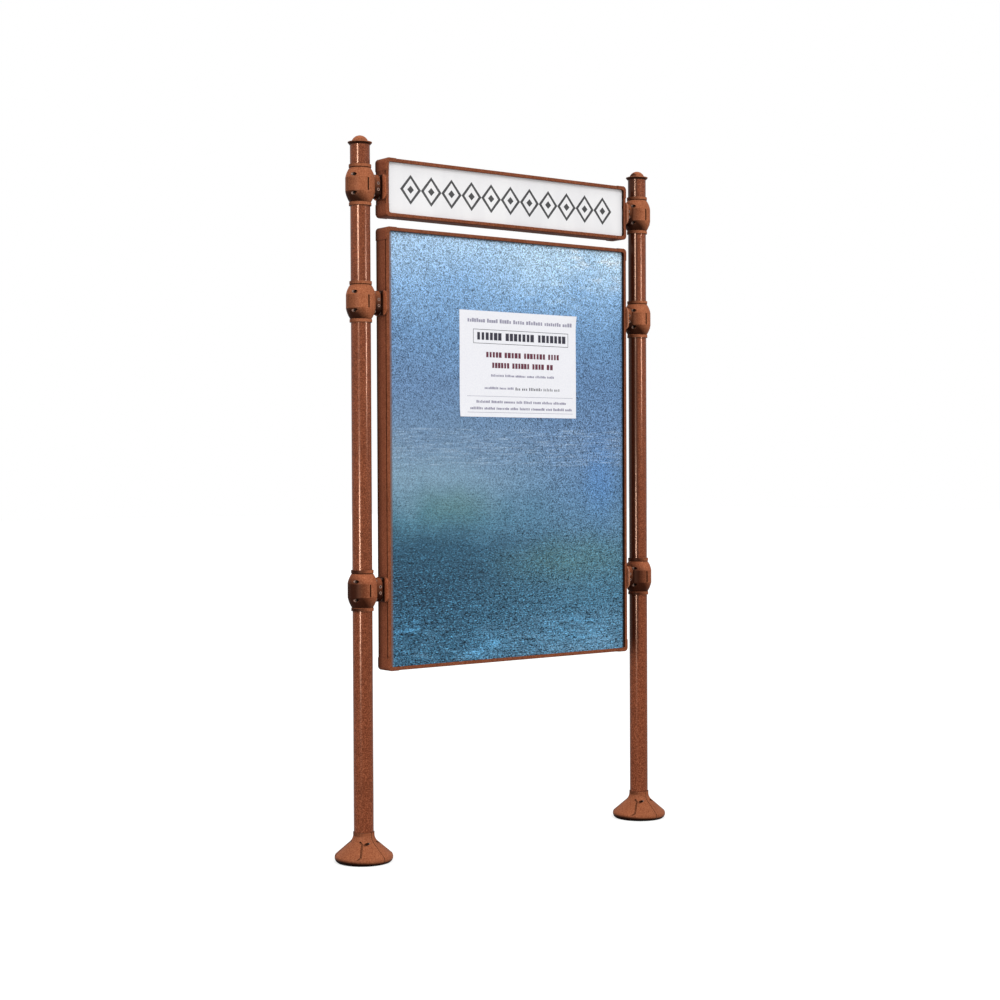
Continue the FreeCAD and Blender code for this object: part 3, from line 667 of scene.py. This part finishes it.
# Pads: painted highlights at their edges, painted shadow on their middle and their tongue, behind the ears
RIGHT_PAD_PAINT = replace(
    CAST_PAINT, name="powder_coat_on_right_pads", colour="#a5694c", wear_and_highlight="#f0c8b4", edge_share=0.8,
    edge_mm=2.0, underside_shade_share=0.0, corner_light=0.75, middle_shade=0.95, ear_shadow=0.9, ear_from=0.5172,
    ear_to=0.519)
# Left pads: painted light on their outer faces, a weaker painted highlight on their edges
PAD_PAINT = {
    Side.LEFT: replace(
        RIGHT_PAD_PAINT, name="powder_coat_on_left_pads", colour="#82492f", grain_dark="#6c3a24",
        grain_light="#975b40", edge_share=0.3, side_light=2.5),
    Side.RIGHT: RIGHT_PAD_PAINT}
# Painted shade is stronger by the right post than by the left one: shares of painted shade on what faces the
# board, and how much further the painted underside shade creeps up the collars
LEE_SHADE = {Side.LEFT: 0.0, Side.RIGHT: 0.88}
LEE_SHADE_RISE = {Side.LEFT: 0.0, Side.RIGHT: 0.15}
# Distances from a pad's head and foot at which the painted shadow on the ears beside it starts and is full
EAR_LIT_MM, EAR_DARK_MM = 10, 25
SHEET_ZINC = StainedZinc("stained_zinc", stains=(
    Stain(-0.24, 1.13, 0.26, 0.10, "#5c8078", 0.45),
    Stain(0.25, 0.94, 0.40, 0.12, "#527470", 0.45),
    Stain(0.39, 1.22, 0.10, 0.26, "#5a8bc4", 0.45),
    Stain(0.40, 1.97, 0.26, 0.12, "#e3ebf0", 0.9, wispy=True),
    Stain(0.20, 1.88, 0.30, 0.12, "#bcd8ec", 0.6, wispy=True),
    Stain(-0.05, 0.63, 0.70, 0.16, "#7fabc8", 0.4, wispy=True),
    Stain(-0.44, 0.74, 0.12, 0.07, "#5fa6d4", 0.9, wispy=True),
    Stain(-0.12, 0.66, 0.20, 0.07, "#5fa6d4", 0.9, wispy=True),
    Stain(0.26, 0.70, 0.20, 0.07, "#5fa6d4", 0.9, wispy=True),
))
SIGN_ENAMEL = Enamel("white_enamel")
SIGN_FILM = Enamel("grey_sign_film", colour="#4b4b4c", marked="#444446", roughness=0.45)
PLATED_STEEL = BareSteel("zinc_plated_steel")
# Screws: painted shade deep in their pockets
SCREW_STEEL = BareSteel("weathered_screws", colour="#b08b7a", dulled="#86665a", roughness=0.55, cloud_mm=4.0,
                        recess_shut=0.4, recess_open=0.95, metallic=0.0, reflectance=0.2)
PAPER = PrintedMatter("poster_paper")
INKS = {
    Ink.DARK: PrintedMatter("dark_ink", colour="#2c2a38", fading_and_side_light="#3a3846"),
    Ink.RED: PrintedMatter("red_ink", colour="#5c2436", fading_and_side_light="#6d3346"),
    Ink.GREY: PrintedMatter("grey_ink", colour="#8e8ca0", fading_and_side_light="#a3a1b2"),
}


def dress(node: str, finish: Finish) -> None:
    """Give a CAD node its finish.

    Args:
        node: Name of the CAD node.
        finish: Finish for all its material slots.
    """
    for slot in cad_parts[node].material_slots:
        slot.material = finish.material()
    LOG.info("%s: %s", node, finish.name)


def facing_board(paint: PowderCoat, side: Side) -> PowderCoat:
    """Paint with the painted shade on a post's side towards the board.

    Args:
        paint: Paint of a piece on the post.
        side: Side of the board that the post is on.

    Returns:
        The paint with that painted shade.
    """
    return replace(paint, name=f"{paint.name}_{side.value}", board_shade=LEE_SHADE[side])


def new_piece(name: str, mesh: Mesh, finish: Finish, body: str) -> bpy.types.Object:
    """Turn a bmesh into a piece that rides on a CAD body.

    Args:
        name: Name of the piece.
        mesh: Its shape, in place; freed here.
        finish: Its finish.
        body: CAD body that carries it.

    Returns:
        The new object.
    """
    bmesh.ops.remove_doubles(mesh, verts=mesh.verts, dist=0.01 * MM)
    bmesh.ops.recalc_face_normals(mesh, faces=mesh.faces)
    data = bpy.data.meshes.new(name)
    mesh.to_mesh(data)
    mesh.free()
    data.materials.append(finish.material())
    piece = bpy.data.objects.new(name, data)
    bpy.context.scene.collection.objects.link(piece)
    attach(piece, body)
    LOG.info("%s: %d faces, %s", name, len(data.polygons), finish.name)
    return piece


def thicken(mesh: Mesh, depth: float) -> None:
    """Give flat faces of an XZ drawing a depth towards -Y.

    Args:
        mesh: Flat drawing, extruded in place.
        depth: How far it stands proud.
    """
    grown = bmesh.ops.extrude_face_region(mesh, geom=mesh.faces[:], use_keep_orig=True)
    front = [v for v in grown["geom"] if isinstance(v, bmesh.types.BMVert)]
    bmesh.ops.translate(mesh, verts=front, vec=(0.0, -depth, 0.0))


def upright(centre: Vector, half_width: float, half_height: float) -> Matrix:
    """Place of a flat unit shape that is stood up to face the reader.

    Args:
        centre: Its middle.
        half_width: Half its size along X.
        half_height: Half its size along Z.

    Returns:
        The matrix that turns, scales and moves it.
    """
    size = Matrix.Diagonal((half_width, 1.0, half_height, 1.0))
    return Matrix.Translation(centre) @ size @ Matrix.Rotation(math.radians(90), 4, "X")


def flat_patch(mesh: Mesh, centre: Vector, width: float, height: float, columns: int = 1,
               rows: int = 1) -> None:
    """Add an upright rectangle that faces the reader.

    Args:
        mesh: Drawing that gets the rectangle.
        centre: Its middle.
        width: Size along X.
        height: Size along Z.
        columns: Number of faces along X.
        rows: Number of faces along Z.
    """
    bmesh.ops.create_grid(mesh, x_segments=columns, y_segments=rows, size=1.0,
                          matrix=upright(centre, width / 2, height / 2))


class Posts:
    """Posts with their base plates and caps."""

    def dress(self) -> None:
        """Give tubes, plates and caps their finishes."""
        for side in Side:
            dress(f"post_{side.value}", facing_board(POST_PAINT, side))
            dress(f"base_plate_{side.value}", PLATED_STEEL)
            dress(f"cap_{side.value}", facing_board(CAP_PAINT, side))


@dataclass
class BaseCover:
    """Conical cover round the foot of a post."""

    side: Side

    def dress(self) -> None:
        """Give the two halves and the screws their finishes."""
        name = f"base_cover_{self.side.value}"
        dress(f"{name}_outer_half", FOOT_PAINT)
        dress(f"{name}_inner_half", FOOT_PAINT)
        dress(f"{name}_screws", SCREW_STEEL)


@dataclass
class Panel:
    """Framed panel between the posts, with the collars that clamp it."""

    name: str
    sheet_finish: Finish
    collar_paints: dict[str, PowderCoat]

    def dress(self) -> None:
        """Give frame, sheets, collars, pads and screws their finishes."""
        for edge in ("top", "bottom", "left", "right"):
            dress(f"{self.name}_rail_{edge}", FRAME_PAINT)
        for level in ("top", "bottom"):
            for side in Side:
                dress(f"{self.name}_corner_{level}_{side.value}", FRAME_PAINT)
        for face in ("front", "back"):
            dress(f"{self.name}_sheet_{face}", self.sheet_finish)
        for level, paint in self.collar_paints.items():
            for side in Side:
                self.dress_collar(level, side, self.collar_paint(paint, level, side))
        dress(f"{self.name}_backing_strips", PLATED_STEEL)
        for kind in ("corner", "collar", "pad"):
            dress(f"{self.name}_{kind}_screws", SCREW_STEEL)

    def collar_paint(self, paint: PowderCoat, level: str, side: Side) -> PowderCoat:
        """Paint of a collar, with painted shadow on its ears and painted underside shade set for its side.

        Args:
            paint: Paint of the collars at this level.
            level: Level of the collar, as its nodes say it.
            side: Side of the board.

        Returns:
            The paint with that painted shade.
        """
        low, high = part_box(f"{self.name}_pad_{level}{side.value}")
        # Painted underside shade rises further up the collars on the right
        shade_rise = LEE_SHADE_RISE[side]
        # Painted shadow on the ears, between the pad's head and foot
        return replace(paint, name=f"{paint.name}_{self.name}_{side.value}", ear_shadow=1.0,
                       underside_shade_from=paint.underside_shade_from + shade_rise, underside_shade_to=paint.underside_shade_to + shade_rise,
                       ear_head=high.z - EAR_LIT_MM * MM, ear_foot=low.z + EAR_DARK_MM * MM)

    def dress_collar(self, level: str, side: Side, paint: Finish) -> None:
        """Give a collar and its pad their paints.

        Args:
            level: Level of the collar, as its nodes say it.
            side: Side of the board.
            paint: Paint of its halves.
        """
        place = level + side.value
        for half in Half:
            dress(f"{self.name}_collar_{place}_{half.value}", paint)
        dress(f"{self.name}_pad_{place}", PAD_PAINT[side])


@dataclass
class SignOrnament:
    """Band of cut film on the header sign: a row of lozenges."""

    body: str = "sign"
    lozenges: int = 11
    width: float = 0.90
    height: float = 0.096
    stroke: float = 0.0115
    heart: float = 0.013
    film: float = 0.0003

    def build(self) -> None:
        """Cut the band and lay it on the front sheet of the sign."""
        low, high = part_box("sign_sheet_front")
        middle = Vector(((low.x + high.x) / 2, low.y, (low.z + high.z) / 2))
        mesh = bmesh.new()
        pitch = self.width / self.lozenges
        for i in range(self.lozenges):
            along = (i - (self.lozenges - 1) / 2) * pitch
            self.lozenge(mesh, middle + Vector((along, 0.0, 0.0)), pitch)
        thicken(mesh, self.film)
        new_piece("sign_ornament", mesh, SIGN_FILM, self.body)

    def lozenge(self, mesh: Mesh, centre: Vector, pitch: float) -> None:
        """Add an open lozenge with a small solid one at its heart.

        Args:
            mesh: Flat drawing of the band.
            centre: Middle of the lozenge.
            pitch: Its share of the band's length.
        """
        ring = bmesh.ops.create_circle(mesh, cap_ends=True, segments=4, radius=1.0,
                                       matrix=upright(centre, pitch / 2, self.height / 2))
        face = ring["verts"][0].link_faces[0]
        bmesh.ops.inset_individual(mesh, faces=[face], thickness=self.stroke)
        bmesh.ops.delete(mesh, geom=[face], context="FACES")
        bmesh.ops.create_circle(mesh, cap_ends=True, segments=4, radius=1.0,
                                matrix=upright(centre, self.heart, self.heart))


@dataclass(frozen=True)
class PrintLine:
    """Row of plain blocks for a line of print, in millimetres from the paper's top left corner."""

    ink: Ink
    start: float
    end: float
    middle: float
    height: float
    words: int
    weight: float = 0.8
    capitals: bool = False


@dataclass
class Notice:
    """Paper notice pasted on the board, with rows of plain blocks for its print."""

    body: str = "board"
    columns: int = 50
    rows: int = 36
    thickness: float = 0.0003
    cockle: float = 0.0006
    curl: float = 0.006
    curl_reach: float = 0.055
    proud: float = 0.00012
    crease: float = 40.0
    line_columns: int = 30
    # Gaps between words and sizes of blocks, in shares of a line's height, and the spread of both
    word_gap: float = 0.55
    word_spread: tuple[float, float] = (0.6, 1.6)
    block_pitch: float = 0.75
    block_spread: tuple[float, float] = (0.75, 1.15)
    block_heights: tuple[float, ...] = (0.72, 0.72, 0.86, 1.0)
    seed: int = 12
    lines: tuple[PrintLine, ...] = (
        PrintLine(Ink.GREY, 32, 482, 32, 13, 7),
        PrintLine(Ink.DARK, 70, 455, 84, 25, 3, 0.78, capitals=True),
        PrintLine(Ink.RED, 108, 425, 145, 18, 4, 0.76, capitals=True),
        PrintLine(Ink.RED, 133, 398, 180, 18, 4, 0.76, capitals=True),
        PrintLine(Ink.GREY, 130, 402, 214, 8, 6),
        PrintLine(Ink.GREY, 102, 226, 256, 8, 3),
        PrintLine(Ink.DARK, 232, 428, 257, 10, 5, 0.5),
        PrintLine(Ink.GREY, 68, 455, 302, 9, 8),
        PrintLine(Ink.GREY, 42, 482, 324, 9, 9),
    )

    def __post_init__(self) -> None:
        """Take the paper's place from its CAD node."""
        self.low, self.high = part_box("notice_sheet")

    def build(self) -> None:
        """Make the paper, then its print as one piece for each ink."""
        self.paper()
        draw = random.Random(self.seed)
        for ink in Ink:
            mesh = bmesh.new()
            for line in self.lines:
                if line.ink is ink:
                    self.blocks(mesh, line, draw)
            if ink is Ink.DARK:
                self.title_box(mesh)
            if ink is Ink.GREY:
                self.rules(mesh)
            self.settle(mesh, self.thickness)
            thicken(mesh, self.proud)
            new_piece(f"notice_print_{ink.value}", mesh, INKS[ink], self.body)

    def paper(self) -> None:
        """Make the cockled sheet with slightly lifted corners."""
        mesh = bmesh.new()
        size = self.high - self.low
        middle = Vector(((self.low.x + self.high.x) / 2, 0.0, (self.low.z + self.high.z) / 2))
        flat_patch(mesh, middle, size.x, size.z, self.columns, self.rows)
        self.settle(mesh, 0.0)
        thicken(mesh, self.thickness)
        piece = new_piece("notice_paper", mesh, PAPER, self.body)
        piece.data.shade_smooth()
        piece.data.set_sharp_from_angle(angle=math.radians(self.crease))
        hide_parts("notice_sheet")

    def lift(self, x: float, z: float) -> float:
        """Gap between the paper and the sheet behind it.

        Args:
            x: Place across the board.
            z: Height.

        Returns:
            The gap, in metres.
        """
        # Two crossing waves, about 0.2 m and 0.3 m long
        wave = math.sin(31 * x + 9 * z) * math.sin(17 * z - 13 * x + 1.3)
        gap = self.cockle * (0.5 + 0.5 * wave)
        near = max(0.0, 1.0 - math.hypot(self.high.x - x, self.high.z - z) / self.curl_reach)
        far = max(0.0, 1.0 - math.hypot(x - self.low.x, z - self.low.z) / self.curl_reach)
        return gap + self.curl * near ** 2 + 0.5 * self.curl * far ** 2

    def settle(self, mesh: Mesh, face: float) -> None:
        """Lay a flat drawing on the cockled paper.

        Args:
            mesh: Drawing in the XZ plane, moved in place.
            face: Height of the drawing above the paper's back.
        """
        for vertex in mesh.verts:
            vertex.co.y = self.high.y - self.lift(vertex.co.x, vertex.co.z) - face

    def spot(self, right: float, down: float) -> Vector:
        """Point of the drawing at millimetres from the paper's top left corner."""
        return Vector((self.low.x + right * MM, 0.0, self.high.z - down * MM))

    def blocks(self, mesh: Mesh, line: PrintLine, draw: random.Random) -> None:
        """Add the blocks of a line, in words of uneven length.

        Args:
            mesh: Drawing of one ink.
            line: Line of print.
            draw: Source of the uneven lengths.
        """
        gap = self.word_gap * line.height
        shares = [draw.uniform(*self.word_spread) for _ in range(line.words)]
        room = line.end - line.start - gap * (line.words - 1)
        right = line.start
        for share in shares:
            length = room * share / sum(shares)
            count = max(1, round(length / (self.block_pitch * line.height)))
            step = length / count
            for i in range(count):
                tall = line.height * (1.0 if line.capitals else draw.choice(self.block_heights))
                centre = self.spot(right + (i + 0.5) * step, line.middle + (line.height - tall) / 2)
                wide = step * line.weight * draw.uniform(*self.block_spread)
                flat_patch(mesh, centre, wide * MM, tall * MM)
            right += length + gap

    def title_box(self, mesh: Mesh) -> None:
        """Add the thin box round the title."""
        left, right, top, bottom, stroke = 57, 465, 62, 108, 1.6
        for down in (top, bottom):
            flat_patch(mesh, self.spot((left + right) / 2, down), (right - left) * MM, stroke * MM,
                       self.line_columns)
        for across in (left, right):
            flat_patch(mesh, self.spot(across, (top + bottom) / 2), stroke * MM, (bottom - top) * MM)

    def rules(self, mesh: Mesh) -> None:
        """Add the two thin rules above and below the last lines."""
        middle, length, stroke = 258, 455, 1.2
        for down in (284, 338):
            flat_patch(mesh, self.spot(middle, down), length * MM, stroke * MM, self.line_columns)


@dataclass(frozen=True)
class StripLamp:
    """Tall narrow softbox that draws a bright line down round posts. It lights no matt surface."""

    name: str
    place: tuple[float, float, float]
    width: float
    height: float
    power: float


@dataclass
class Studio:
    """Pale floor, white surroundings, soft light and the camera of the photograph."""

    light_behind: float = 0.4
    light_ahead: float = 1.3
    light_azimuth: float = -37.0
    light_elevation: float = 30.0
    sun_strength: float = 0.7
    sun_azimuth: float = -5.0
    sun_elevation: float = 42.0
    sun_spread: float = 25.0
    floor_half: float = 40.0
    floor_colour: str = "#b4b4b3"
    floor_glow: float = 0.65
    camera_place: tuple[float, float, float] = (-3.7552, -4.8217, 1.2419)
    yaw: float = 37.657
    pitch: float = -0.894
    roll: float = -0.263
    lens: float = 65.0
    sensor: float = 36.0
    strips: tuple[StripLamp, ...] = (
        StripLamp("strip_left_high", (-4.05, -2.0, 2.7), 0.5, 0.8, 160.0),
        StripLamp("strip_left_low", (-4.05, -2.0, 0.77), 0.5, 0.85, 160.0),
        StripLamp("strip_right", (1.2, -2.86, 2.0), 0.28, 0.8, 62.0),
    )

    def build(self) -> None:
        """Set up the whole studio."""
        self.surroundings()
        self.floor()
        self.sun()
        for strip in self.strips:
            self.strip(strip)
        self.camera()
        bpy.context.scene.view_settings.view_transform = "Standard"

    def towards(self, azimuth: float, elevation: float) -> Vector:
        """Direction to a light, in degrees to the right of the reader's side and above level."""
        around, above = math.radians(azimuth), math.radians(elevation)
        level = math.cos(above)
        return Vector((math.sin(around) * level, -math.cos(around) * level, math.sin(above)))

    def surroundings(self) -> None:
        """World that is white to the camera and lights the object more from the reader's side."""
        world = bpy.data.worlds.new("white_surroundings")
        bpy.context.scene.world = world
        world.use_nodes = True
        tree = world.node_tree
        tree.nodes.clear()
        ahead = add_node(tree, "VectorMath", {
            0: add_node(tree, "TexCoord").outputs["Generated"],
            1: self.towards(self.light_azimuth, self.light_elevation)}, operation="DOT_PRODUCT")
        soft = add_node(tree, "MapRange", {
            "Value": ahead.outputs["Value"], "From Min": -1.0, "From Max": 1.0,
            "To Min": self.light_behind, "To Max": self.light_ahead})
        seen = add_node(tree, "LightPath").outputs["Is Camera Ray"]
        level = add_node(tree, "Math", {0: seen, 1: soft}, operation="MAXIMUM")
        light = add_node(tree, "Background", {"Color": (1.0, 1.0, 1.0, 1.0), "Strength": level})
        add_node(tree, "OutputWorld", {"Surface": light})

    def floor(self) -> None:
        """Pale floor that keeps the shadow and is white where it is lit."""
        mesh = bmesh.new()
        bmesh.ops.create_grid(mesh, x_segments=1, y_segments=1, size=self.floor_half)
        data = bpy.data.meshes.new("studio_floor")
        mesh.to_mesh(data)
        mesh.free()
        floor = bpy.data.objects.new("studio_floor", data)
        bpy.context.scene.collection.objects.link(floor)
        material = bpy.data.materials.new("pale_floor")
        material.use_nodes = True
        tree = material.node_tree
        tree.nodes.clear()
        matt = add_node(tree, "BsdfDiffuse", {"Color": linear(self.floor_colour)})
        seen = add_node(tree, "LightPath").outputs["Is Camera Ray"]
        glow = add_node(tree, "Math", {0: seen, 1: self.floor_glow}, operation="MULTIPLY")
        white = add_node(tree, "Emission", {"Color": (1.0, 1.0, 1.0, 1.0), "Strength": glow})
        both = add_node(tree, "AddShader", {0: matt, 1: white})
        add_node(tree, "OutputMaterial", {"Surface": both})
        data.materials.append(material)

    def sun(self) -> None:
        """Wide soft light from the front."""
        lamp = bpy.data.lights.new("soft_light", "SUN")
        lamp.energy = self.sun_strength
        lamp.angle = math.radians(self.sun_spread)
        light = bpy.data.objects.new("soft_light", lamp)
        towards = self.towards(self.sun_azimuth, self.sun_elevation)
        light.rotation_euler = towards.to_track_quat("Z", "Y").to_euler()
        bpy.context.scene.collection.objects.link(light)

    def strip(self, strip: StripLamp) -> None:
        """Add a strip lamp that faces the middle of the object.

        Args:
            strip: Its place, size and power.
        """
        lamp = bpy.data.lights.new(strip.name, "AREA")
        lamp.shape = "RECTANGLE"
        lamp.size = strip.width
        lamp.size_y = strip.height
        lamp.energy = strip.power
        light = bpy.data.objects.new(strip.name, lamp)
        light.location = strip.place
        away = Vector((strip.place[0], strip.place[1], 0.0))
        light.rotation_euler = away.to_track_quat("Z", "Y").to_euler()
        light.visible_diffuse = False
        light.visible_camera = False
        bpy.context.scene.collection.objects.link(light)

    def camera(self) -> None:
        """Camera where the photograph was taken from."""
        yaw, pitch, roll = (math.radians(a) for a in (self.yaw, self.pitch, self.roll))
        ahead = Vector((math.sin(yaw) * math.cos(pitch), math.cos(yaw) * math.cos(pitch), math.sin(pitch)))
        level = Vector((math.cos(yaw), -math.sin(yaw), 0.0))
        upright = level.cross(ahead)
        right = level * math.cos(roll) + upright * math.sin(roll)
        above = upright * math.cos(roll) - level * math.sin(roll)
        data = bpy.data.cameras.new("photo_camera")
        data.lens = self.lens
        data.sensor_width = self.sensor
        camera = bpy.data.objects.new("photo_camera", data)
        turn = Matrix((right, above, -ahead)).transposed().to_4x4()
        camera.matrix_world = Matrix.Translation(self.camera_place) @ turn
        bpy.context.scene.collection.objects.link(camera)
        bpy.context.scene.camera = camera


def main() -> None:
    """Build the looks in order."""
    logging.basicConfig(level=logging.INFO, format="%(name)s %(message)s")
    Posts().dress()
    for side in Side:
        BaseCover(side).dress()
    Panel("sign", SIGN_ENAMEL, {"": CAST_PAINT}).dress()
    Panel("board", SHEET_ZINC, {"upper_": CAST_PAINT, "lower_": LOW_CAST_PAINT}).dress()
    SignOrnament().build()
    Notice().build()
    Studio().build()


if __name__ == "__main__":
    main()
